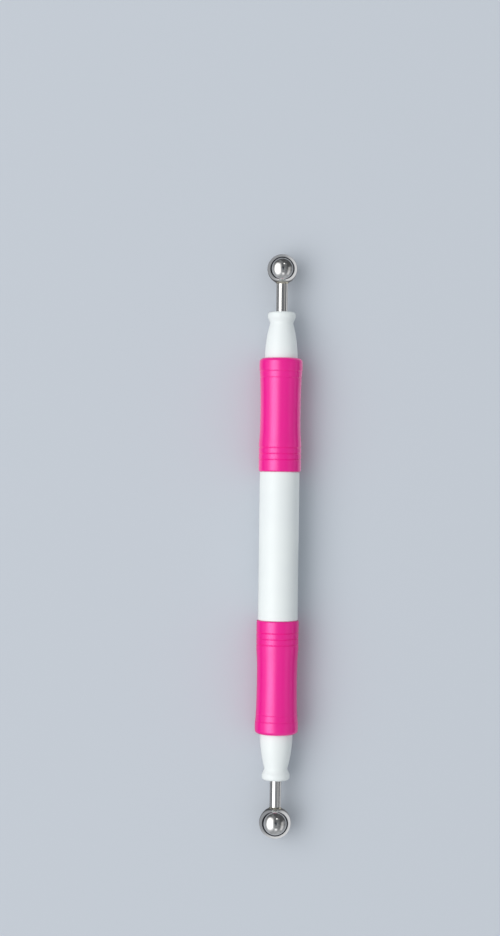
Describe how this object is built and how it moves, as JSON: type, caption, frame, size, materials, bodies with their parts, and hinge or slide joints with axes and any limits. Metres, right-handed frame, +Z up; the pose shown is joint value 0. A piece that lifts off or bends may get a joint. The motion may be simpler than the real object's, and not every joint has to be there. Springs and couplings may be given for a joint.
{
  "type": "embossing stylus",
  "caption": "Double-ended embossing stylus: white round handle, soft magenta grips, and a polished steel ball on a short shank at each end.",
  "frame": {"origin": "on the stylus's axis, at the middle of the white barrel", "axes": "+Y along the axis towards the small ball, +Z up from the table that the stylus lies on, +X to the right seen from above with the small ball away from the viewer"},
  "size_m": [0.011, 0.1472, 0.011],
  "materials": {
    "white_plastic": "glossy injection-moulded white plastic",
    "grip_rubber": "smooth soft magenta elastomer with a satin skin",
    "shank_steel": "turned and bright-polished steel rod",
    "ball_steel": "polished steel ball"
  },
  "bodies": {
    "root": {"barrel": "white_plastic", "grip_small_end": "grip_rubber", "grip_large_end": "grip_rubber", "nose_small_end": "white_plastic", "nose_large_end": "white_plastic", "shank_small_end": "shank_steel", "shank_large_end": "shank_steel", "ball_small_end": "ball_steel", "ball_large_end": "ball_steel"}
  },
  "joints": []
}
